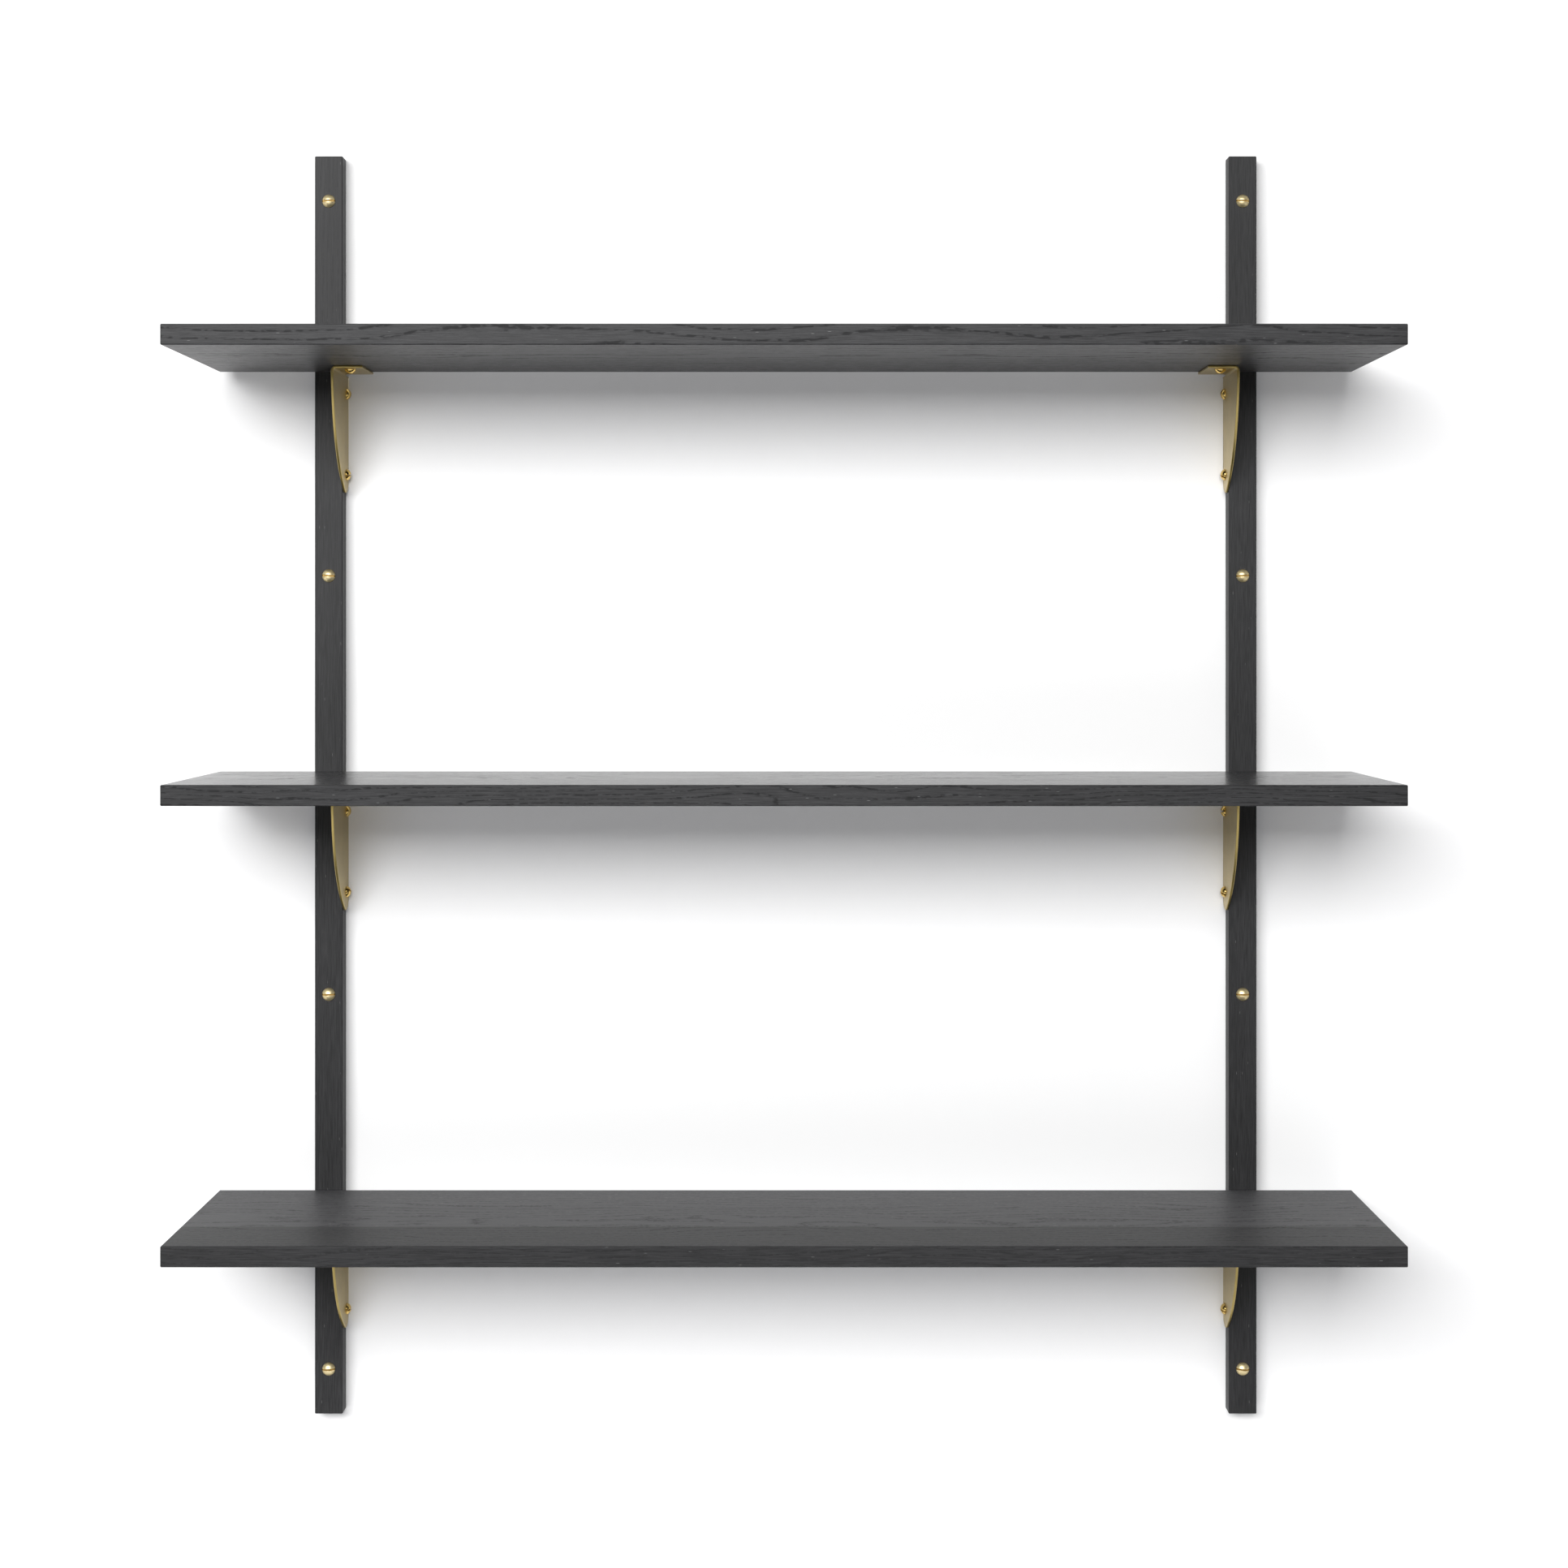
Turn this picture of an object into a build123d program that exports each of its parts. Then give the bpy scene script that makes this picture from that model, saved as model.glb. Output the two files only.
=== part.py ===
from build123d import *
import math
import os

# Wall shelf with brackets: three boards on two wall uprights, carried by six folded brass
# brackets and fixed with slotted round-head brass wood screws. Millimetres.
# Frame: +Z up, the front faces -Y, and the wall is the plane Y = 0. The origin is on the wall,
# at the middle of the rectangle of the four outermost wall screws.

# Shelf boards
board_width = 1120.0
board_depth = 240.0
board_thickness = 19.0
board_edge_radius = 1.2
board_pitch = 414.0
middle_board_top = 13.5

# Uprights
upright_width = 27.5
upright_depth = 20.0
upright_height = 1244.0
upright_spacing = 904.0
upright_edge_radius = 1.0

# Brackets: a web against the upright's inner face, and a flange under the board
sheet_thickness = 2.5
bend_radius = 5.0
flange_width = 30.5
web_height = 119.0
web_tip_radius = 12.0
web_front_radius = 136.0
web_shoulder = 3.5
sheet_edge_radius = 0.7
flange_corner_radius = 1.0
web_screw_from_wall = 10.0
web_screw_drops = {"upper": 21.0, "lower": 101.0}
flange_screw_from_web = 16.5
flange_screw_from_wall = 70.0

# Wall screws
wall_screw_outer_height = 577.5
wall_screw_inner_height = 207.0
wall_head_radius = 6.5
wall_head_height = 4.6
wall_shank_radius = 3.2
wall_thread_radius = 3.0
wall_thread_root = 2.15
wall_thread_pitch = 2.6
wall_screw_length = 60.0

# Bracket screws
small_head_radius = 5.7
small_head_height = 4.2
small_shank_radius = 2.75
small_shank_length = 5.0
small_thread_radius = 2.7
small_thread_root = 1.95
small_thread_pitch = 2.3
web_screw_length = 20.0
flange_screw_length = 16.0

# Slots, points and the room round each screw
slot_width = 1.6
slot_depth = 2.4
thread_run_in = 1.0
point_length = 5.0
point_radius = 0.3
bracket_hole_gap = 0.25
wall_hole_gap = 0.1
wood_hole_gap = 0.05
wood_hole_extra_depth = 1.0

# Each slot stops where the driver left it: degrees turned from level (wall and web screws)
# or from the line of the wall (flange screws)
wall_slot_turns = {"left": (2.0, -3.0, 1.0, 2.0), "right": (-2.0, 3.0, 0.0, -4.0)}
web_slot_turns = {
    ("top", "left"): (80.0, 15.0),
    ("top", "right"): (-50.0, 30.0),
    ("middle", "left"): (90.0, -35.0),
    ("middle", "right"): (0.0, 25.0),
    ("bottom", "left"): (60.0, 5.0),
    ("bottom", "right"): (-70.0, 20.0),
}
flange_slot_turns = {"top": 12.0, "middle": 65.0, "bottom": -20.0}

# Places worked out from the driving dimensions
sides = {"left": -1, "right": 1}
board_tops = {
    "top": middle_board_top + board_pitch,
    "middle": middle_board_top,
    "bottom": middle_board_top - board_pitch,
}
board_undersides = {level: top - board_thickness for level, top in board_tops.items()}
upright_centre = upright_spacing / 2
inner_face = upright_centre - upright_width / 2
wall_screw_heights = (
    wall_screw_outer_height,
    wall_screw_inner_height,
    -wall_screw_inner_height,
    -wall_screw_outer_height,
)
# The web's front edge is an arc about a point behind the wall, level with the flange's top,
# and the tip's arc touches both that arc and the wall
tip_centre_drop = web_height - web_tip_radius
arc_centre = web_tip_radius - math.sqrt(
    (web_front_radius - web_tip_radius) ** 2 - tip_centre_drop**2
)
bracket_reach = arc_centre + web_front_radius
tip_turn = math.degrees(math.atan2(tip_centre_drop, web_tip_radius - arc_centre))

os.makedirs("parts", exist_ok=True)


def thread_rings(start, end, crest, root, pitch):
    """Half-outline points of a thread drawn as rings, from under the head towards the point."""
    points = []
    for turn in range(int((end - start) / pitch)):
        depth = start + turn * pitch
        points += [
            (root, -depth),
            (crest, -depth - 0.35 * pitch),
            (crest, -depth - 0.45 * pitch),
            (root, -depth - 0.8 * pitch),
        ]
    return points


def wood_screw(
    length, head_radius, head_height, shank_radius, shank_length, thread_radius, root_radius, pitch
):
    """A slotted round-head wood screw that stands on its seat at the origin, head up."""
    dome_radius = (head_radius**2 + head_height**2) / (2 * head_height)
    dome_turn = math.degrees(math.asin(head_radius / dome_radius))
    thread_start = shank_length + thread_run_in
    thread_end = length - point_length
    with BuildPart() as screw:
        with BuildSketch(Plane.XZ):
            with BuildLine():
                CenterArc((0, head_height - dome_radius), dome_radius, 90, -dome_turn)
                Polyline(
                    (head_radius, 0),
                    (shank_radius, 0),
                    (shank_radius, -shank_length),
                    (thread_radius, -shank_length),
                    (thread_radius, -thread_start),
                    *thread_rings(thread_start, thread_end, thread_radius, root_radius, pitch),
                    (root_radius, -thread_end),
                    (point_radius, -length),
                    (0, -length),
                    (0, head_height),
                )
            make_face()
        revolve(axis=Axis.Z)
        with BuildSketch(Plane.XY.offset(head_height)):
            Rectangle(2 * head_radius + 1, slot_width)
        extrude(amount=-slot_depth, mode=Mode.SUBTRACT)
    return screw.part


wall_screw_body = wood_screw(
    wall_screw_length,
    wall_head_radius,
    wall_head_height,
    wall_shank_radius,
    upright_depth,
    wall_thread_radius,
    wall_thread_root,
    wall_thread_pitch,
)
web_screw_body, flange_screw_body = [
    wood_screw(
        length,
        small_head_radius,
        small_head_height,
        small_shank_radius,
        small_shank_length,
        small_thread_radius,
        small_thread_root,
        small_thread_pitch,
    )
    for length in (web_screw_length, flange_screw_length)
]


def on_fold(edge):
    """True on the fold's own lines, where its curve meets the web or the flange."""
    middle, size = edge.center(), edge.bounding_box().size
    runs_forward = size.X < 0.001 and size.Z < 0.001
    return runs_forward and middle.X < flange_width - 0.1 and middle.Z > -bend_radius - 0.1


def through_sheet(edge):
    """True on a short line from one face of the sheet to the other."""
    return abs(edge.length - sheet_thickness) < 0.01


# Left bracket: the folded section is drawn across the sheet and drawn out from the wall, then
# cut to its side outline. Its corner on the wall, at the board's underside, is at the origin.
with BuildPart() as left_bracket:
    with BuildSketch(Plane.XZ):
        with BuildLine():
            Polyline(
                (bend_radius, 0),
                (flange_width, 0),
                (flange_width, -sheet_thickness),
                (bend_radius, -sheet_thickness),
            )
            CenterArc((bend_radius, -bend_radius), bend_radius - sheet_thickness, 90, 90)
            Polyline(
                (sheet_thickness, -bend_radius),
                (sheet_thickness, -web_height - 1),
                (0, -web_height - 1),
                (0, -bend_radius),
            )
            CenterArc((bend_radius, -bend_radius), bend_radius, 90, 90)
        make_face()
    extrude(amount=bracket_reach + 1)
    with BuildSketch(Plane.YZ):
        with BuildLine():
            Polyline(
                (-bracket_reach, 0),
                (-upright_depth, 0),
                (-upright_depth, -web_shoulder),
                (0, -web_shoulder),
                (0, -tip_centre_drop),
            )
            CenterArc((-web_tip_radius, -tip_centre_drop), web_tip_radius, 0, tip_turn - 180)
            CenterArc((-arc_centre, 0), web_front_radius, tip_turn - 180, -tip_turn)
        make_face()
    extrude(amount=flange_width, mode=Mode.INTERSECT)
    fillet(
        left_bracket.edges().filter_by(Axis.Z).group_by(Axis.X)[-1],
        flange_corner_radius,
    )
    # The blank's outline is eased on both faces; the fold's own lines and the corners' short
    # lines through the sheet stay as they are
    fillet(
        left_bracket.edges().filter_by(lambda edge: not on_fold(edge) and not through_sheet(edge)),
        sheet_edge_radius,
    )
    with BuildSketch(Plane.YZ):
        with Locations(*[(-web_screw_from_wall, -drop) for drop in web_screw_drops.values()]):
            Circle(small_shank_radius + bracket_hole_gap)
    extrude(amount=sheet_thickness, mode=Mode.SUBTRACT)
    with BuildSketch(Plane.XY):
        with Locations((flange_screw_from_web, -flange_screw_from_wall)):
            Circle(small_shank_radius + bracket_hole_gap)
    extrude(amount=-sheet_thickness, mode=Mode.SUBTRACT)

with BuildPart() as right_bracket:
    mirror(left_bracket.part, about=Plane.YZ)

bracket_bodies = {"left": left_bracket.part, "right": right_bracket.part}

# Uprights: straight battens with eased edges, four clearance holes for the wall screws, and
# two blind pilot holes beside each board for the bracket's web screws
web_pilot_depth = web_screw_length - sheet_thickness + wood_hole_extra_depth
for side, sign in sides.items():
    with BuildPart() as upright:
        with BuildSketch(Plane.XY.offset(-upright_height / 2)):
            with Locations((sign * upright_centre, -upright_depth / 2)):
                Rectangle(upright_width, upright_depth)
        extrude(amount=upright_height)
        fillet(upright.edges(), upright_edge_radius)
        with BuildSketch(Plane.XZ):
            with Locations(*[(sign * upright_centre, height) for height in wall_screw_heights]):
                Circle(wall_shank_radius + wall_hole_gap)
        extrude(amount=upright_depth, mode=Mode.SUBTRACT)
        with BuildSketch(Plane.YZ.offset(sign * inner_face)):
            with Locations(
                *[
                    (-web_screw_from_wall, underside - drop)
                    for underside in board_undersides.values()
                    for drop in web_screw_drops.values()
                ]
            ):
                Circle(small_shank_radius + wood_hole_gap)
        extrude(amount=sign * web_pilot_depth, mode=Mode.SUBTRACT)
    upright.part.label = f"upright_{side}"
    export_step(upright.part, f"parts/upright_{side}.step")

# Wall screws, numbered from the top down: the head seats on the upright's front face
for side, sign in sides.items():
    for number, height in enumerate(wall_screw_heights, 1):
        turn = math.radians(wall_slot_turns[side][number - 1])
        seat = Plane(
            origin=(sign * upright_centre, -upright_depth, height),
            x_dir=(math.cos(turn), 0, math.sin(turn)),
            z_dir=(0, -1, 0),
        )
        with BuildPart(seat) as wall_screw:
            add(wall_screw_body)
        wall_screw.part.label = f"wall_screw_{side}_{number}"
        export_step(wall_screw.part, f"parts/wall_screw_{side}_{number}.step")

# Boards: edge-glued, with every edge eased, and a blind pilot hole over each flange screw.
# The back edge touches the uprights' front faces
flange_pilot_depth = flange_screw_length - sheet_thickness + wood_hole_extra_depth
flange_screw_x = inner_face - flange_screw_from_web
for level, underside in board_undersides.items():
    with BuildPart() as board:
        with BuildSketch(Plane.XY.offset(underside)):
            with Locations((0, -upright_depth - board_depth / 2)):
                Rectangle(board_width, board_depth)
        extrude(amount=board_thickness)
        fillet(board.edges(), board_edge_radius)
        with BuildSketch(Plane.XY.offset(underside)):
            with Locations(*[(sign * flange_screw_x, -flange_screw_from_wall) for sign in (-1, 1)]):
                Circle(small_shank_radius + wood_hole_gap)
        extrude(amount=flange_pilot_depth, mode=Mode.SUBTRACT)
    board.part.label = f"shelf_{level}"
    export_step(board.part, f"parts/shelf_{level}.step")

# Brackets and their screws: each web lies on an upright's inner face, each flange under a board
for level, underside in board_undersides.items():
    for side, sign in sides.items():
        with BuildPart(Plane(origin=(sign * inner_face, 0, underside))) as bracket:
            add(bracket_bodies[side])
        bracket.part.label = f"bracket_{level}_{side}"
        export_step(bracket.part, f"parts/bracket_{level}_{side}.step")

        for turn_degrees, (place, drop) in zip(
            web_slot_turns[level, side], web_screw_drops.items()
        ):
            turn = math.radians(turn_degrees)
            seat = Plane(
                origin=(
                    sign * (inner_face - sheet_thickness),
                    -web_screw_from_wall,
                    underside - drop,
                ),
                x_dir=(0, math.cos(turn), math.sin(turn)),
                z_dir=(-sign, 0, 0),
            )
            with BuildPart(seat) as web_screw:
                add(web_screw_body)
            web_screw.part.label = f"web_screw_{level}_{side}_{place}"
            export_step(web_screw.part, f"parts/web_screw_{level}_{side}_{place}.step")

        turn = math.radians(sign * flange_slot_turns[level])
        seat = Plane(
            origin=(sign * flange_screw_x, -flange_screw_from_wall, underside - sheet_thickness),
            x_dir=(math.cos(turn), math.sin(turn), 0),
            z_dir=(0, 0, -1),
        )
        with BuildPart(seat) as flange_screw:
            add(flange_screw_body)
        flange_screw.part.label = f"flange_screw_{level}_{side}"
        export_step(flange_screw.part, f"parts/flange_screw_{level}_{side}.step")
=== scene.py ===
import math
import bmesh
import bpy
from mathutils import Matrix, Vector


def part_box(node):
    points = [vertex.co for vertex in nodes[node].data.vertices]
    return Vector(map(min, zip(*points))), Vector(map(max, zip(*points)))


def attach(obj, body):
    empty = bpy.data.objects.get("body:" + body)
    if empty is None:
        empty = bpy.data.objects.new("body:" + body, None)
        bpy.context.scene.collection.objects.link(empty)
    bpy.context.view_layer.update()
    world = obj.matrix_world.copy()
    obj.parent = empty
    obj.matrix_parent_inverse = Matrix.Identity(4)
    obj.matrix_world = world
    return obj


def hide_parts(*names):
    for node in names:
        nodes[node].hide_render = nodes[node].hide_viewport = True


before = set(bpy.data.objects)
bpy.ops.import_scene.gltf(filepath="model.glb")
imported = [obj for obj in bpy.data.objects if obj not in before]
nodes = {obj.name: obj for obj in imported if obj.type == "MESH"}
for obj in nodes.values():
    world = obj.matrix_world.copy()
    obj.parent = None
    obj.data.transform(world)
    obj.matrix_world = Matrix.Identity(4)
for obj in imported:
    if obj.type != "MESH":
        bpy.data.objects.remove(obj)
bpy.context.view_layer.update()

# ------------------------------------------------------------------ Uprights
# Two straight oak battens, planed, sanded and eased on every arris. They are stained
# black and finished with a thin satin lacquer that leaves the pores open. The grain runs
# up the batten.

MM = 0.001


def linear(hex_colour):
    """An sRGB hex colour as opaque linear RGBA."""
    channels = [int(hex_colour[i : i + 2], 16) / 255 for i in (1, 3, 5)]
    return (*[c / 12.92 if c <= 0.04045 else ((c + 0.055) / 1.055) ** 2.4 for c in channels], 1.0)


def add_node(tree, kind, inputs=None, **properties):
    """Adds a shader node, sets its properties, and fills its inputs from values or sockets."""
    node = tree.nodes.new("ShaderNode" + kind)
    for name, value in properties.items():
        setattr(node, name, value)
    for name, value in (inputs or {}).items():
        if isinstance(value, bpy.types.NodeSocket):
            tree.links.new(value, node.inputs[name])
        else:
            node.inputs[name].default_value = value
    return node


def new_material(name):
    """An empty node material and its tree."""
    material = bpy.data.materials.new(name)
    material.use_nodes = True
    material.node_tree.nodes.clear()
    return material, material.node_tree


# Sockets of the Mix node when it mixes colours
MIX_FACTOR, MIX_A, MIX_B, MIX_RESULT = 0, 6, 7, 2

OAK_DARK = "#1c1c1d"
OAK_LIGHT = "#2f2f30"
OAK_PORE = "#0c0c0d"
OAK_FLECK = "#5c5c5c"
OAK_LACQUER_IOR = 1.5
# the open pores break up the film, so it reflects less than a closed one (0.5) would
OAK_LACQUER_COVER = 0.2
# How far the rings stray from true circles: slowly along the tree, and as a ripple (mm)
RING_WANDER, RING_RIPPLE = 34.0, 2.4
# How far into another tree each stave of a board may be cut (mm)
STAVE_JUMP = (900, 60, 45)
# The small summer pores, as drawn (mm)
FINE_PORE_LENGTH, FINE_PORE_WIDTH = 5.0, 0.6
# How deep the open pores and the fibre are (mm)
PORE_DEPTH, FIBRE_DEPTH = 0.05, 0.008


def stained_oak(name, turn, pith, ring_width, pores_seen, tone, staves=None):
    """Black-stained, open-pored oak with a satin lacquer.

    The stain evens out the colour, so the eye gets the grain as dark pore dashes in rows
    along each year's ring, fine silky fibre between them, and a soft drift of tone. On end
    grain the same solid pattern shows as dots in arcs.
    turn lays the grain along the piece and pith is the rings' centre across the grain (mm).
    pores_seen is the length and width that the spring pores are drawn (mm) and how dark they
    look. staves gives the width of a glued board's strips, where its front edge is (mm), and
    how much paler the strips behind the front one are.
    """
    material, tree = new_material(name)
    place = add_node(tree, "TexCoord").outputs["Object"]
    grain = add_node(
        tree,
        "Mapping",
        {"Vector": place, "Location": (0, *pith), "Rotation": turn, "Scale": (1 / MM,) * 3},
    ).outputs["Vector"]
    pore_length, pore_width, pore_dark = pores_seen
    stave_tone, seam = 0.5, None
    if staves:
        stave_width, front_edge, paler = staves
        across = add_node(tree, "SeparateXYZ", {0: place}).outputs["Y"]
        across = add_node(tree, "Math", {0: across, 1: front_edge * MM}, operation="SUBTRACT").outputs[0]
        count = add_node(tree, "Math", {0: across, 1: stave_width * MM}, operation="DIVIDE").outputs[0]
        strip = add_node(tree, "Math", {0: count}, operation="FLOOR").outputs[0]
        chance = add_node(tree, "TexWhiteNoise", {"W": strip}, noise_dimensions="1D")
        further = add_node(tree, "Math", {0: strip, 1: 0.5}, operation="GREATER_THAN").outputs[0]
        stave_tone = add_node(
            tree, "Math", {0: further, 1: paler, 2: chance.outputs["Value"]}, operation="MULTIPLY_ADD"
        ).outputs[0]
        jump = add_node(
            tree, "VectorMath", {0: chance.outputs["Color"], 1: STAVE_JUMP}, operation="MULTIPLY"
        ).outputs[0]
        grain = add_node(tree, "VectorMath", {0: grain, 1: jump}, operation="ADD").outputs[0]
        # the glue line: a hair-fine dark seam, drawn 0.5 mm wide so that it shows
        offset = add_node(tree, "Math", {0: count, 1: 0.5}, operation="PINGPONG").outputs[0]
        seam = add_node(
            tree,
            "MapRange",
            {"Value": offset, "From Min": 0.0, "From Max": 0.5 / stave_width, "To Min": 1, "To Max": 0},
        ).outputs[0]

    # slow wander of the rings along the tree, and a finer ripple
    wander = add_node(
        tree,
        "TexNoise",
        {
            "Vector": add_node(
                tree, "VectorMath", {0: grain, 1: (0.0035, 0.016, 0.016)}, operation="MULTIPLY"
            ).outputs[0],
            "Scale": 1.0,
            "Detail": 2.0,
        },
    ).outputs["Fac"]
    ripple = add_node(
        tree,
        "TexNoise",
        {
            "Vector": add_node(
                tree, "VectorMath", {0: grain, 1: (0.03, 0.2, 0.2)}, operation="MULTIPLY"
            ).outputs[0],
            "Scale": 1.0,
            "Detail": 3.0,
        },
    ).outputs["Fac"]
    flat = add_node(tree, "VectorMath", {0: grain, 1: (0, 1, 1)}, operation="MULTIPLY").outputs[0]
    radius = add_node(tree, "VectorMath", {0: flat}, operation="LENGTH").outputs["Value"]
    radius = add_node(
        tree, "Math", {0: wander, 1: RING_WANDER, 2: radius}, operation="MULTIPLY_ADD"
    ).outputs[0]
    radius = add_node(
        tree, "Math", {0: ripple, 1: RING_RIPPLE, 2: radius}, operation="MULTIPLY_ADD"
    ).outputs[0]
    year = add_node(tree, "Math", {0: radius, 1: ring_width}, operation="DIVIDE").outputs[0]
    from_ring = add_node(tree, "Math", {0: year, 1: 0.5}, operation="PINGPONG").outputs[0]
    early = add_node(
        tree,
        "MapRange",
        {"Value": from_ring, "From Min": 0.08, "From Max": 0.24, "To Min": 1, "To Max": 0},
        interpolation_type="SMOOTHSTEP",
    ).outputs[0]

    # the large spring pores, really 0.3 mm wide and drawn up to 1 mm so that they show
    pore_cell = add_node(
        tree,
        "TexVoronoi",
        {
            "Vector": add_node(
                tree,
                "VectorMath",
                {0: grain, 1: (1 / pore_length, 1 / pore_width, 1 / pore_width)},
                operation="MULTIPLY",
            ).outputs[0],
            "Scale": 1.0,
        },
    ).outputs["Distance"]
    pores = add_node(
        tree,
        "MapRange",
        {"Value": pore_cell, "From Min": 0.28, "From Max": 0.52, "To Min": 1, "To Max": 0},
        interpolation_type="SMOOTHSTEP",
    ).outputs[0]
    pores = add_node(tree, "Math", {0: pores, 1: early}, operation="MULTIPLY").outputs[0]
    # where they crowd, each year's pores read as a dark wavy line, broken up along the grain
    breaks = add_node(
        tree,
        "TexNoise",
        {
            "Vector": add_node(
                tree,
                "VectorMath",
                {0: grain, 1: (1.9 / pore_length, 0.35, 0.35)},
                operation="MULTIPLY",
            ).outputs[0],
            "Scale": 1.0,
            "Detail": 1.0,
        },
    ).outputs["Fac"]
    breaks = add_node(tree, "MapRange", {"Value": breaks, "From Min": 0.44, "From Max": 0.56}).outputs[0]
    line = add_node(
        tree,
        "MapRange",
        {"Value": from_ring, "From Min": 0.05, "From Max": 0.14, "To Min": 1, "To Max": 0},
        interpolation_type="SMOOTHSTEP",
    ).outputs[0]
    line = add_node(tree, "Math", {0: line, 1: breaks}, operation="MULTIPLY").outputs[0]
    pores = add_node(tree, "Math", {0: pores, 1: 0.5, 2: line}, operation="MULTIPLY_ADD", use_clamp=True)
    pores = pores.outputs[0]
    # the small summer pores, all over, really too fine to see and drawn coarser
    fine_cell = add_node(
        tree,
        "TexVoronoi",
        {
            "Vector": add_node(
                tree,
                "VectorMath",
                {0: grain, 1: (1 / FINE_PORE_LENGTH, 1 / FINE_PORE_WIDTH, 1 / FINE_PORE_WIDTH)},
                operation="MULTIPLY",
            ).outputs[0],
            "Scale": 1.0,
        },
    )
    fine = add_node(
        tree,
        "MapRange",
        {
            "Value": fine_cell.outputs["Distance"],
            "From Min": 0.2,
            "From Max": 0.42,
            "To Min": 1,
            "To Max": 0,
        },
    ).outputs[0]
    # silky fibre, about 0.6 mm across
    fibre = add_node(
        tree,
        "TexNoise",
        {
            "Vector": add_node(
                tree, "VectorMath", {0: grain, 1: (0.05, 1.6, 1.6)}, operation="MULTIPLY"
            ).outputs[0],
            "Scale": 1.0,
            "Detail": 2.0,
            "Roughness": 0.5,
        },
    ).outputs["Fac"]
    # where the stain took more or less
    drift = add_node(
        tree,
        "TexNoise",
        {
            "Vector": add_node(
                tree, "VectorMath", {0: grain, 1: (0.006, 0.04, 0.04)}, operation="MULTIPLY"
            ).outputs[0],
            "Scale": 1.0,
            "Detail": 3.0,
        },
    ).outputs["Fac"]

    body = add_node(
        tree,
        "Mix",
        {
            MIX_FACTOR: add_node(
                tree, "MapRange", {"Value": fibre, "From Min": 0.3, "From Max": 0.7}
            ).outputs[0],
            MIX_A: linear(OAK_DARK),
            MIX_B: linear(OAK_LIGHT),
        },
        data_type="RGBA",
    ).outputs[MIX_RESULT]
    dark = add_node(tree, "Math", {0: fine, 1: 0.25, 2: pores}, operation="MULTIPLY_ADD", use_clamp=True)
    dark = dark.outputs[0]
    if seam:
        dark = add_node(tree, "Math", {0: dark, 1: seam}, operation="MAXIMUM").outputs[0]
    body = add_node(
        tree,
        "Mix",
        {
            MIX_FACTOR: add_node(tree, "Math", {0: dark, 1: pore_dark}, operation="MULTIPLY").outputs[0],
            MIX_A: body,
            MIX_B: linear(OAK_PORE),
        },
        data_type="RGBA",
    ).outputs[MIX_RESULT]
    # pale flecks where the lacquer has filled a pore
    rare = add_node(tree, "SeparateXYZ", {0: fine_cell.outputs["Color"]}).outputs["X"]
    rare = add_node(tree, "Math", {0: rare, 1: 0.996}, operation="GREATER_THAN").outputs[0]
    fleck = add_node(tree, "Math", {0: fine, 1: rare}, operation="MULTIPLY").outputs[0]
    body = add_node(
        tree, "Mix", {MIX_FACTOR: fleck, MIX_A: body, MIX_B: linear(OAK_FLECK)}, data_type="RGBA"
    ).outputs[MIX_RESULT]
    level = add_node(tree, "Math", {0: drift, 1: 0.5, 2: tone - 0.25}, operation="MULTIPLY_ADD").outputs[0]
    level = add_node(tree, "Math", {0: stave_tone, 1: 0.3, 2: level}, operation="MULTIPLY_ADD").outputs[0]
    body = add_node(tree, "VectorMath", {0: body, "Scale": level}, operation="SCALE").outputs[0]

    # a glancing look sees the lacquer smoother than a straight one does
    facing = add_node(tree, "LayerWeight", {"Blend": 0.5}).outputs["Facing"]
    rough = add_node(
        tree,
        "MapRange",
        {"Value": facing, "From Min": 0.86, "From Max": 0.96, "To Min": 0.44, "To Max": 0.12},
    ).outputs[0]
    rough = add_node(
        tree, "Math", {0: dark, 1: 0.25 * pore_dark, 2: rough}, operation="MULTIPLY_ADD"
    ).outputs[0]
    rough = add_node(tree, "Math", {0: fibre, 1: 0.12, 2: rough}, operation="MULTIPLY_ADD").outputs[0]
    height = add_node(tree, "Math", {0: dark, 1: -PORE_DEPTH * pore_dark}, operation="MULTIPLY").outputs[0]
    height = add_node(
        tree, "Math", {0: fibre, 1: FIBRE_DEPTH, 2: height}, operation="MULTIPLY_ADD"
    ).outputs[0]
    relief = add_node(tree, "Bump", {"Height": height, "Strength": 1.0, "Distance": MM}).outputs[0]
    surface = add_node(
        tree,
        "BsdfPrincipled",
        {
            "Base Color": body,
            "Roughness": rough,
            "Normal": relief,
            "IOR": OAK_LACQUER_IOR,
            "Specular IOR Level": OAK_LACQUER_COVER,
        },
    )
    add_node(tree, "OutputMaterial", {"Surface": surface.outputs[0]})
    return material


GRAIN_UP = (0, math.pi / 2, 0)
for side, pith, tone in (("left", (34, -40), 0.9), ("right", (-52, 75), 0.88)):
    nodes[f"upright_{side}"].material_slots[0].material = stained_oak(
        f"Black-stained oak, {side} upright", GRAIN_UP, pith, 5.2, (13.0, 0.8, 0.1), tone
    )

# ------------------------------------------------------------------ Wall screws
# Slotted round-head wood screws, turned from solid brass rod, with a rolled thread and a
# gimlet point. The heads are satin. Each goes through an upright into the wall.

# Length, head, shank and thread of each size of screw, in millimetres
WALL_SCREW = {
    "length": 60.0,
    "head_radius": 6.5,
    "head_height": 4.6,
    "shank_radius": 3.2,
    "shank_length": 20.0,
    "crest": 3.0,
    "root": 2.15,
    "pitch": 2.6,
}
SLOT_WIDTH, SLOT_DEPTH = 1.6, 2.4
RIM_HEIGHT, RIM_EASE, SLOT_EASE = 0.5, 0.14, 0.1
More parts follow.
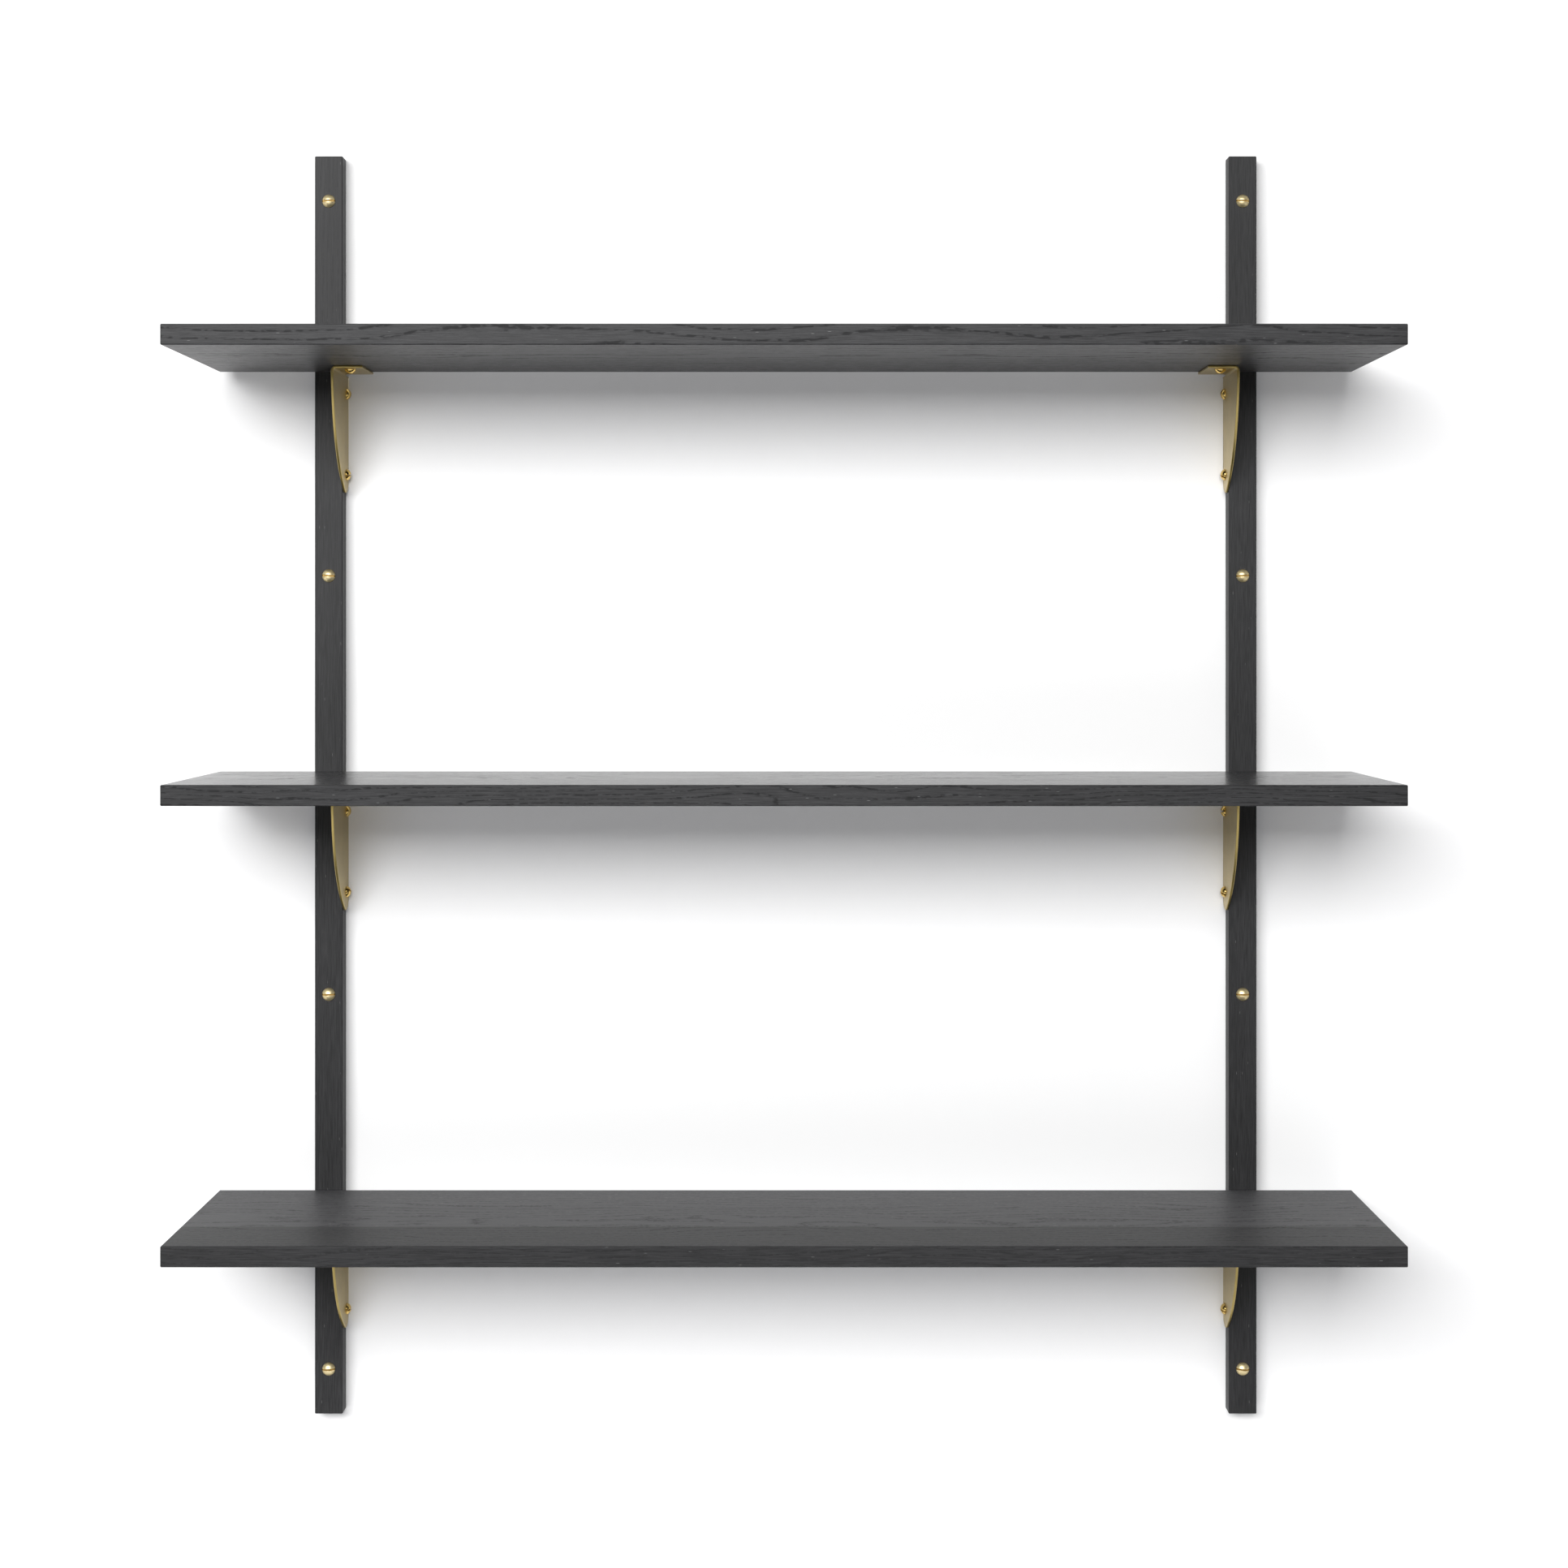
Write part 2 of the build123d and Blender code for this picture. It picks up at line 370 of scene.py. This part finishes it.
# The last of the thread tapers to a gimlet point with this share of its thickness taken off
POINT_LENGTH, POINT_TAPER = 5.0, 0.86
ROUND_STEPS = 48
DOME_STEPS = 12
THREAD_STEPS = 24
# Edges that turn by more than this stay crisp
CRISP_ANGLE = math.radians(38)


def spin_outline(mesh, outline):
    """Turns a half outline of vertices about Z into a closed surface."""
    bmesh.ops.spin(
        mesh,
        geom=outline,
        axis=(0, 0, 1),
        cent=(0, 0, 0),
        angle=2 * math.pi,
        steps=ROUND_STEPS,
        use_merge=True,
    )
    bmesh.ops.remove_doubles(mesh, verts=mesh.verts, dist=1e-4)


def with_edges(faces):
    """The faces with their edges and corners, each once, in the faces' order."""
    edges = (e for f in faces for e in f.edges)
    corners = (v for f in faces for v in f.verts)
    return list(dict.fromkeys((*faces, *edges, *corners)))


def turn_screw(name, size, material):
    """A screw of one size on the lathe: in millimetres, head up, its seat at the origin."""
    mesh = bmesh.new()
    head_radius, head_height = size["head_radius"], size["head_height"]
    shank_end = -size["shank_length"]

    # head and shank: the dome's arc, then the rim, the seat and the shank
    dome_rise = head_height - RIM_HEIGHT
    dome_radius = (head_radius**2 + dome_rise**2) / (2 * dome_rise)
    crown = mesh.verts.new((0, 0, head_height))
    bmesh.ops.spin(
        mesh,
        geom=[crown],
        axis=(0, 1, 0),
        cent=(0, 0, head_height - dome_radius),
        angle=math.asin(head_radius / dome_radius),
        steps=DOME_STEPS,
    )
    rim = max(mesh.verts, key=lambda v: abs(v.co.x))
    if rim.co.x < 0:
        bmesh.ops.scale(mesh, vec=(-1, 1, 1), verts=mesh.verts)
    last = rim
    for x, z in ((head_radius, 0), (size["shank_radius"], 0), (size["shank_radius"], shank_end)):
        corner = mesh.verts.new((x, 0, z))
        mesh.edges.new((last, corner))
        last = corner
    spin_outline(mesh, mesh.verts[:] + mesh.edges[:])
    rim_edges = [
        e
        for e in mesh.edges
        if all(abs(v.co.xy.length - head_radius) < 0.01 for v in e.verts)
        and abs(e.verts[0].co.z - e.verts[1].co.z) < 0.01
    ]
    bmesh.ops.bevel(
        mesh, geom=rim_edges, offset=RIM_EASE, affect="EDGES", segments=2, profile=0.5, material=-1
    )

    # the slot: the dome is cut along the slot's sides and at its floor, and the strip
    # between is pushed down flat
    floor = head_height - SLOT_DEPTH
    half = SLOT_WIDTH / 2
    for point, normal in (
        ((0, half, 0), (0, 1, 0)),
        ((0, -half, 0), (0, 1, 0)),
        ((0, 0, floor), (0, 0, 1)),
    ):
        upper = [f for f in mesh.faces if f.calc_center_median().z > 0.3]
        bmesh.ops.bisect_plane(
            mesh, geom=with_edges(upper), dist=1e-4, plane_co=point, plane_no=normal
        )
    strip = [
        f
        for f in mesh.faces
        if abs(f.calc_center_median().y) < half and f.calc_center_median().z > floor
    ]
    pushed = bmesh.ops.extrude_face_region(mesh, geom=strip)["geom"]
    bmesh.ops.delete(mesh, geom=strip, context="FACES")
    for v in pushed:
        if isinstance(v, bmesh.types.BMVert):
            v.co.z = floor
    bmesh.ops.remove_doubles(mesh, verts=mesh.verts, dist=1e-4)
    lips = [
        e
        for e in mesh.edges
        if len(e.link_faces) == 2
        and all(abs(abs(v.co.y) - half) < 1e-3 and v.co.z > floor + 1e-3 for v in e.verts)
        and e.calc_face_angle() > 0.5
    ]
    bmesh.ops.bevel(
        mesh, geom=lips, offset=SLOT_EASE, affect="EDGES", segments=2, profile=0.5, material=-1
    )

    # the thread: one pitch of its outline, wound down the screw
    pitch, crest, root = size["pitch"], size["crest"], size["root"]
    turns = math.ceil((size["length"] - size["shank_length"]) / pitch) + 2
    top = shank_end + pitch
    before = set(mesh.verts)
    outline = [
        mesh.verts.new((x, 0, top + z))
        for x, z in (
            (root, 0),
            (crest, -0.35 * pitch),
            (crest, -0.45 * pitch),
            (root, -0.8 * pitch),
            (root, -pitch),
        )
    ]
    rungs = [mesh.edges.new(pair) for pair in zip(outline, outline[1:])]
    bmesh.ops.spin(
        mesh,
        geom=outline + rungs,
        axis=(0, 0, 1),
        cent=(0, 0, 0),
        dvec=(0, 0, -pitch / THREAD_STEPS),
        angle=-2 * math.pi * turns,
        steps=THREAD_STEPS * turns,
    )
    wound = [v for v in mesh.verts if v not in before]
    bmesh.ops.remove_doubles(mesh, verts=wound, dist=1e-4)
    for height, up in ((shank_end, 1), (-size["length"], -1)):
        wound = [f for f in mesh.faces if not before.intersection(f.verts)]
        bmesh.ops.bisect_plane(
            mesh,
            geom=with_edges(wound),
            dist=1e-4,
            plane_co=(0, 0, height),
            plane_no=(0, 0, up),
            clear_outer=True,
        )
    point_start = -size["length"] + POINT_LENGTH
    for v in mesh.verts:
        if v.co.z < point_start:
            share = 1 - POINT_TAPER * (point_start - v.co.z) / POINT_LENGTH
            v.co.x *= share
            v.co.y *= share
    open_edges = [e for e in mesh.edges if e.is_boundary]
    tip = [e for e in open_edges if e.verts[0].co.z < -size["length"] + 0.01]
    collar = [e for e in open_edges if e.verts[0].co.z > shank_end - 0.01]
    bmesh.ops.triangle_fill(mesh, edges=collar, use_beauty=True, normal=(0, 0, -1))
    bmesh.ops.triangle_fill(mesh, edges=tip, use_beauty=True, normal=(0, 0, -1))

    bmesh.ops.recalc_face_normals(mesh, faces=mesh.faces)
    # the screw's own axes stay on it, for marks that follow the turning
    own = mesh.verts.layers.float_vector.new("turned")
    for v in mesh.verts:
        v[own] = v.co
    for face in mesh.faces:
        face.smooth = True
    for edge in mesh.edges:
        edge.smooth = len(edge.link_faces) == 2 and edge.calc_face_angle() < CRISP_ANGLE
    data = bpy.data.meshes.new(name)
    mesh.to_mesh(data)
    mesh.free()
    data.materials.append(material)
    return data


def drive_screw(turned, size, node, out, slot_line):
    """Sets a turned screw on its seat in place of its node: out is the way its head faces."""
    low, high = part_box(node)
    from_middle_to_head = Vector(o * span / 2 for o, span in zip(out, high - low))
    seat = (low + high) / 2 - from_middle_to_head + out * size["length"] * MM
    data = turned.copy()
    axes = Matrix((slot_line, out.cross(slot_line), out)).transposed().to_4x4()
    data.transform(Matrix.Translation(seat) @ axes @ Matrix.Scale(MM, 4))
    piece = bpy.data.objects.new(f"round_head_{node}", data)
    bpy.context.scene.collection.objects.link(piece)
    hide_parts(node)
    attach(piece, "root")


# The heads of the wall screws, the heads of the bracket screws, and unpolished brass out of the wheel's
# reach, which is dark enough to also paint the shade in the slot
BRASS_SATIN_HEAD = "#fbeab8"
BRASS_MIRROR_HEAD = "#e0c074"
BRASS_DULL_AND_SLOT_SHADE = "#94763c"


def turned_brass(name, colour_shown, polish):
    """Brass turned on a lathe.

    A warm yellow gloss with faint rings from the tool, a little duller in the slot and
    between the threads, where the polishing wheel doesn't reach. The slot is darker as well,
    as painted shade in the recess. polish is the roughness left on the head: low for a
    mirror, higher for a soft satin.
    """
    material, tree = new_material(name)
    own = add_node(tree, "Attribute", attribute_name="turned").outputs["Vector"]
    # lathe rings, 8 to the millimetre
    axes = add_node(tree, "SeparateXYZ", {0: own})
    flat = add_node(tree, "VectorMath", {0: own, 1: (1, 1, 0)}, operation="MULTIPLY").outputs[0]
    radius = add_node(tree, "VectorMath", {0: flat}, operation="LENGTH").outputs["Value"]
    rings = add_node(
        tree,
        "TexNoise",
        {"W": add_node(tree, "Math", {0: radius, 1: 8.0}, operation="MULTIPLY").outputs[0], "Scale": 1.0},
        noise_dimensions="1D",
    ).outputs["Fac"]
    blotch = add_node(tree, "TexNoise", {"Vector": own, "Scale": 0.45, "Detail": 3.0}).outputs["Fac"]
    sideways = add_node(tree, "Math", {0: axes.outputs["Y"]}, operation="ABSOLUTE").outputs[0]
    # the slot: its brass is unpolished, and it is also painted darker, as painted shade in the recess
    in_slot = add_node(
        tree,
        "MapRange",
        {
            "Value": sideways,
            "From Min": SLOT_WIDTH / 2 - 0.05,
            "From Max": SLOT_WIDTH / 2 + 0.05,
            "To Min": 1,
            "To Max": 0,
        },
    ).outputs[0]
    above = add_node(tree, "Math", {0: axes.outputs["Z"], 1: 0.0}, operation="GREATER_THAN").outputs[0]
    in_slot = add_node(tree, "Math", {0: in_slot, 1: above}, operation="MULTIPLY").outputs[0]
    below = add_node(tree, "Math", {0: axes.outputs["Z"], 1: -0.5}, operation="LESS_THAN").outputs[0]
    dull_and_slot_shade = add_node(tree, "Math", {0: in_slot, 1: below}, operation="MAXIMUM").outputs[0]
    dull_and_slot_shade = add_node(tree, "Math", {0: dull_and_slot_shade, 1: 0.85}, operation="MULTIPLY").outputs[0]
    dull_and_slot_shade = add_node(tree, "Math", {0: blotch, 1: 0.25, 2: dull_and_slot_shade}, operation="MULTIPLY_ADD", use_clamp=True)
    dull_and_slot_shade = dull_and_slot_shade.outputs[0]
    # the dull colour is unpolished brass between the threads, and unpolished brass with painted shade in
    # the slot
    colour = add_node(
        tree,
        "Mix",
        {MIX_FACTOR: dull_and_slot_shade, MIX_A: linear(colour_shown), MIX_B: linear(BRASS_DULL_AND_SLOT_SHADE)},
        data_type="RGBA",
    ).outputs[MIX_RESULT]
    rough = add_node(tree, "Math", {0: dull_and_slot_shade, 1: 0.2, 2: polish}, operation="MULTIPLY_ADD").outputs[0]
    rough = add_node(tree, "Math", {0: rings, 1: 0.06, 2: rough}, operation="MULTIPLY_ADD").outputs[0]
    # the rings are 0.004 mm deep, which only softens the gloss
    relief = add_node(
        tree,
        "Bump",
        {
            "Height": add_node(tree, "Math", {0: rings, 1: 0.004}, operation="MULTIPLY").outputs[0],
            "Strength": 1.0,
            "Distance": MM,
        },
    ).outputs[0]
    surface = add_node(
        tree,
        "BsdfPrincipled",
        {"Base Color": colour, "Metallic": 1.0, "Roughness": rough, "Normal": relief},
    )
    add_node(tree, "OutputMaterial", {"Surface": surface.outputs[0]})
    return material


wall_screw = turn_screw(
    "wall screw", WALL_SCREW, turned_brass("Satin turned brass", BRASS_SATIN_HEAD, 0.4)
)

# Where each slot stopped, in degrees from level, from the top screw down
wall_slot_turns = {"left": (2.0, -3.0, 1.0, 2.0), "right": (-2.0, 3.0, 0.0, -4.0)}
for side, turns in wall_slot_turns.items():
    for number, degrees in enumerate(turns, 1):
        turn = math.radians(degrees)
        slot_line = Vector((math.cos(turn), 0, math.sin(turn)))
        node = f"wall_screw_{side}_{number}"
        drive_screw(wall_screw, WALL_SCREW, node, Vector((0, -1, 0)), slot_line)

# ------------------------------------------------------------------ Brackets
# Six brackets cut from 2.5 mm brass sheet and folded once, a left and a right hand for each
# board. The faces have the fine satin of a nylon wheel and the edges are eased.

BRASS_SATIN = "#c2ac6d"
BRASS_TARNISH = "#8f7f4c"


def satin_brass(name, shift):
    """Satin-finished brass sheet.

    Softened reflections with a fine even grit, faint strokes up the sheet from the wheel,
    and slow clouds of light tarnish.
    """
    material, tree = new_material(name)
    place = add_node(tree, "TexCoord").outputs["Object"]
    sheet = add_node(
        tree, "Mapping", {"Vector": place, "Location": shift, "Scale": (1 / MM,) * 3}
    ).outputs["Vector"]
    # grit, really 0.1 mm and drawn 0.6 mm so that it shows
    grit = add_node(
        tree, "TexNoise", {"Vector": sheet, "Scale": 1.6, "Detail": 4.0, "Roughness": 0.7}
    ).outputs["Fac"]
    strokes = add_node(
        tree,
        "TexNoise",
        {
            "Vector": add_node(
                tree, "VectorMath", {0: sheet, 1: (3.0, 3.0, 0.08)}, operation="MULTIPLY"
            ).outputs[0],
            "Scale": 1.0,
            "Detail": 3.0,
        },
    ).outputs["Fac"]
    clouds = add_node(
        tree, "TexNoise", {"Vector": sheet, "Scale": 0.045, "Detail": 4.0, "Roughness": 0.6}
    ).outputs["Fac"]
    tarnish = add_node(tree, "Math", {0: grit, 1: 0.5, 2: -0.1}, operation="MULTIPLY_ADD").outputs[0]
    tarnish = add_node(
        tree, "Math", {0: clouds, 1: 0.6, 2: tarnish}, operation="MULTIPLY_ADD", use_clamp=True
    ).outputs[0]
    colour = add_node(
        tree,
        "Mix",
        {MIX_FACTOR: tarnish, MIX_A: linear(BRASS_SATIN), MIX_B: linear(BRASS_TARNISH)},
        data_type="RGBA",
    ).outputs[MIX_RESULT]
    rough = add_node(tree, "Math", {0: grit, 1: 0.16, 2: 0.2}, operation="MULTIPLY_ADD").outputs[0]
    rough = add_node(tree, "Math", {0: strokes, 1: 0.08, 2: rough}, operation="MULTIPLY_ADD").outputs[0]
    height = add_node(tree, "Math", {0: strokes, 1: 0.006}, operation="MULTIPLY").outputs[0]
    height = add_node(tree, "Math", {0: grit, 1: 0.01, 2: height}, operation="MULTIPLY_ADD").outputs[0]
    relief = add_node(tree, "Bump", {"Height": height, "Strength": 1.0, "Distance": MM}).outputs[0]
    surface = add_node(
        tree,
        "BsdfPrincipled",
        {"Base Color": colour, "Metallic": 1.0, "Roughness": rough, "Normal": relief},
    )
    add_node(tree, "OutputMaterial", {"Surface": surface.outputs[0]})
    return material


# Each pair of brackets is cut from another place on the sheet (mm apart)
SHEET_SHIFT = 137.0
for number, level in enumerate(("top", "middle", "bottom")):
    for side in ("left", "right"):
        nodes[f"bracket_{level}_{side}"].material_slots[0].material = satin_brass(
            f"Satin brass sheet, {level} {side}", (SHEET_SHIFT * number, 0, 0)
        )

# ------------------------------------------------------------------ Web screws
# Two smaller screws of the same make, polished bright, hold each bracket's web to the
# upright's inner face.

WEB_SCREW = {
    "length": 20.0,
    "head_radius": 5.7,
    "head_height": 4.2,
    "shank_radius": 2.75,
    "shank_length": 5.0,
    "crest": 2.7,
    "root": 1.95,
    "pitch": 2.3,
}
screw_brass = turned_brass("Polished turned brass", BRASS_MIRROR_HEAD, 0.08)
web_screw = turn_screw("web screw", WEB_SCREW, screw_brass)
web_slot_turns = {
    ("top", "left"): (80.0, 15.0),
    ("top", "right"): (-50.0, 30.0),
    ("middle", "left"): (90.0, -35.0),
    ("middle", "right"): (0.0, 25.0),
    ("bottom", "left"): (60.0, 5.0),
    ("bottom", "right"): (-70.0, 20.0),
}
for (level, side), turns in web_slot_turns.items():
    towards_middle = 1 if side == "left" else -1
    for place, degrees in zip(("upper", "lower"), turns):
        turn = math.radians(degrees)
        slot_line = Vector((0, math.cos(turn), math.sin(turn)))
        node = f"web_screw_{level}_{side}_{place}"
        drive_screw(web_screw, WEB_SCREW, node, Vector((towards_middle, 0, 0)), slot_line)

# ------------------------------------------------------------------ Boards
# Three boards of oak staves, edge-glued, planed to 19 mm, eased and finished like the
# uprights. The grain runs the length of the board, and each board is another tree.

GRAIN_ALONG = (0, 0, 0)
STAVE_WIDTH = 80.0
for level, pith, ring_width, pores_seen, tone, paler in (
    ("top", (150, -360), 6.5, (14.0, 0.8, 0.65), 1.22, 0.0),
    ("middle", (90, 60), 3.0, (9.0, 1.0, 0.7), 1.0, 1.0),
    ("bottom", (130, 490), 3.6, (8.0, 0.9, 0.4), 0.9, 6.5),
):
    # staves are counted from 2 mm in front, so that no glue line falls on the front edge
    front_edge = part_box(f"shelf_{level}")[0].y / MM - 2
    nodes[f"shelf_{level}"].material_slots[0].material = stained_oak(
        f"Black-stained oak, {level} board",
        GRAIN_ALONG,
        pith,
        ring_width,
        pores_seen,
        tone,
        (STAVE_WIDTH, front_edge, paler),
    )

# ------------------------------------------------------------------ Flange screws
# One more small screw goes up through each bracket's flange into the board. It is turned and
# polished like the web screws, and is shorter, so that its point stays inside the board.

FLANGE_SCREW = {**WEB_SCREW, "length": 16.0}
flange_screw = turn_screw("flange screw", FLANGE_SCREW, screw_brass)
flange_slot_turns = {"top": 12.0, "middle": 65.0, "bottom": -20.0}
for level, degrees in flange_slot_turns.items():
    for side, sign in (("left", -1), ("right", 1)):
        turn = math.radians(sign * degrees)
        slot_line = Vector((math.cos(turn), math.sin(turn), 0))
        node = f"flange_screw_{level}_{side}"
        drive_screw(flange_screw, FLANGE_SCREW, node, Vector((0, 0, -1)), slot_line)

# ------------------------------------------------------------------ Room, light and camera
# A matt white wall right behind the uprights and a pale floor below. Both can be seen
# through from behind, so that the shelf's back shows too.


def one_sided_paint(name, colour, see_through_mm):
    """Matt emulsion that is clear from behind, and to rays that start closer than
    see_through_mm, which lets light from behind reach what lies flat on the wall."""
    material, tree = new_material(name)
    paint = add_node(tree, "BsdfDiffuse", {"Color": linear(colour)}).outputs[0]
    clear = add_node(tree, "BsdfTransparent").outputs[0]
    behind = add_node(tree, "NewGeometry").outputs["Backfacing"]
    length = add_node(tree, "LightPath").outputs["Ray Length"]
    close = add_node(tree, "Math", {0: length, 1: see_through_mm * MM}, operation="LESS_THAN").outputs[0]
    either = add_node(tree, "Math", {0: behind, 1: close}, operation="MAXIMUM").outputs[0]
    mix = add_node(tree, "MixShader", {0: either, 1: paint, 2: clear})
    add_node(tree, "OutputMaterial", {"Surface": mix.outputs[0]})
    return material


def stage_plane(name, width, height, matrix, material):
    """A flat sheet of the room, in metres, which isn't part of the shelf."""
    mesh = bmesh.new()
    bmesh.ops.create_grid(mesh, x_segments=1, y_segments=1, size=0.5)
    bmesh.ops.scale(mesh, vec=(width, height, 1), verts=mesh.verts)
    bmesh.ops.transform(mesh, matrix=matrix, verts=mesh.verts)
    data = bpy.data.meshes.new(name)
    mesh.to_mesh(data)
    mesh.free()
    data.materials.append(material)
    plane = bpy.data.objects.new(name, data)
    bpy.context.scene.collection.objects.link(plane)


# The floor's height, and how far the paint stands off the back of the uprights (m)
FLOOR_LEVEL = -1.25
WALL_GAP = 0.0005
# How near the wall a ray may start and still pass it (mm)
WALL_CLEARANCE = 3.0
wall_paint = one_sided_paint("Matt white wall paint", "#eeeeee", WALL_CLEARANCE)
floor_paint = one_sided_paint("Pale floor paint", "#e4e4e6", 0.0)
facing_front = Matrix.Translation((0, WALL_GAP, 1.5)) @ Matrix.Rotation(math.pi / 2, 4, "X")
stage_plane("wall", 14, 5.2, facing_front, wall_paint)
stage_plane("floor", 14, 14, Matrix.Translation((0, 0, FLOOR_LEVEL)), floor_paint)

# A wide softbox in front, left of the shelf and above it, and a weaker one behind that
# lights the back. Both are aimed at the middle of the shelf.
for name, location, width, height, watts in (
    ("softbox", (-1.0, -4.4, 1.52), 3.9, 1.75, 284),
    ("back softbox", (1.6, 4.0, 2.2), 2.5, 2.5, 120),
):
    light_data = bpy.data.lights.new(name, "AREA")
    light_data.shape = "RECTANGLE"
    light_data.size, light_data.size_y = width, height
    light_data.energy = watts
    light = bpy.data.objects.new(name, light_data)
    light.location = location
    light.rotation_euler = (-light.location).to_track_quat("-Z", "Y").to_euler()
    bpy.context.scene.collection.objects.link(light)

# The room's own even light, and how bright the same room looks to the camera
ROOM_LIGHT, ROOM_SEEN = 0.19, 0.95
world = bpy.data.worlds.new("studio")
bpy.context.scene.world = world
world.use_nodes = True
world.node_tree.nodes.clear()
seen = add_node(world.node_tree, "LightPath").outputs["Is Camera Ray"]
level = add_node(
    world.node_tree, "MapRange", {"Value": seen, "To Min": ROOM_LIGHT, "To Max": ROOM_SEEN}
).outputs[0]
glow = add_node(world.node_tree, "Background", {"Color": (1, 1, 1, 1), "Strength": level}).outputs[0]
add_node(world.node_tree, "OutputWorld", {"Surface": glow})

# A level view from a little above the shelf's middle, so that the uprights stay parallel
camera_data = bpy.data.cameras.new("camera")
camera_data.lens = 59.91
camera_data.sensor_width = 36
camera_data.shift_x = -0.0114
camera_data.shift_y = -0.0927
camera = bpy.data.objects.new("camera", camera_data)
camera.location = (0.016, -2.601, 0.1448)
camera.rotation_euler = (math.pi / 2, 0, 0)
bpy.context.scene.collection.objects.link(camera)
bpy.context.scene.camera = camera
bpy.context.scene.view_settings.view_transform = "Standard"
